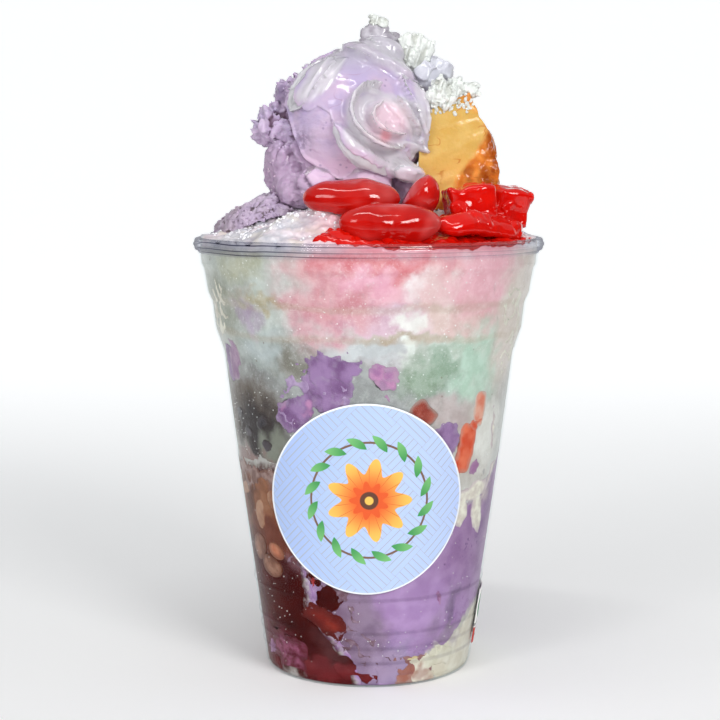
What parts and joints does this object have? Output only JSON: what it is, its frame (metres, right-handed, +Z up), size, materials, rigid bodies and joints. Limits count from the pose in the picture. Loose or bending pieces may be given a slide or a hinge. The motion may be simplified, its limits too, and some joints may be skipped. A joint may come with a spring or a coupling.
{
  "type": "halo halo dessert",
  "caption": "Clear tapered takeaway cup of shaved ice, yam jam and beans in syrup, heaped with purple ice cream, custard flan, palm fruit, red jelly and young coconut.",
  "frame": {"origin": "centre of the cup's foot, on the surface that it stands on", "axes": "+Z up along the cup's axis, -Y towards the front with the round label, +X to the right as seen from the front"},
  "size_m": [0.098, 0.098, 0.1815],
  "materials": {
    "cup_plastic": "clear thin plastic",
    "label_paper": "satin paper, pale blue with a faint plank pattern",
    "side_label_paper": "satin paper, white",
    "ice_cream": "smooth and just melting",
    "melting_ice_cream": "grainy with dark pits",
    "flan": "moist custard with a caramel side",
    "palm_fruit": "wet, see-through",
    "red_jelly": "wet, see-through",
    "young_coconut": "wet, milky and see-through",
    "coconut_flake": "white, fibrous",
    "clear_jelly": "wet, see-through",
    "yam_jam": "creamy with dark flecks",
    "orange_jelly": "wet, see-through",
    "bean": "boiled, in syrup",
    "red_bean": "boiled, in syrup",
    "magenta_jelly": "wet, see-through",
    "shaved_ice": "coarse wet ice, stained pink, mint and grey",
    "bean_syrup": "dark red-brown syrup",
    "milk_cream": "milky"
  },
  "bodies": {
    "root": {"cup": "cup_plastic", "label_front": "label_paper", "label_side": "side_label_paper", "ice_cream_scoop": "ice_cream", "ice_cream_lump": "melting_ice_cream", "leche_flan": "flan", "palm_fruit_1": "palm_fruit", "palm_fruit_2": "palm_fruit", "palm_fruit_3": "palm_fruit", "red_jelly_1": "red_jelly", "red_jelly_2": "red_jelly", "red_jelly_strand": "red_jelly", "young_coconut_1": "young_coconut", "young_coconut_2": "young_coconut", "young_coconut_3": "young_coconut", "young_coconut_4": "young_coconut", "young_coconut_5": "young_coconut", "young_coconut_6": "young_coconut", "young_coconut_7": "young_coconut", "young_coconut_8": "young_coconut", "young_coconut_arch": "young_coconut", "young_coconut_leaf": "young_coconut", "coconut_flake_1": "coconut_flake", "coconut_flake_2": "coconut_flake", "coconut_flake_3": "coconut_flake", "coconut_flake_4": "coconut_flake", "clear_jelly": "clear_jelly", "ube_lump_1": "yam_jam", "ube_lump_2": "yam_jam", "ube_lump_3": "yam_jam", "ube_lump_4": "yam_jam", "ube_lump_5": "yam_jam", "orange_jelly_1": "orange_jelly", "orange_jelly_2": "orange_jelly", "orange_jelly_3": "orange_jelly", "red_jelly_cube": "red_jelly", "white_bean_1": "bean", "white_bean_2": "bean", "red_bean": "red_bean", "magenta_jelly": "magenta_jelly", "brown_jelly": "red_bean", "shaved_ice": "shaved_ice", "bean_syrup": "bean_syrup", "cream": "milk_cream", "ube_jam": "yam_jam"}
  },
  "joints": []
}
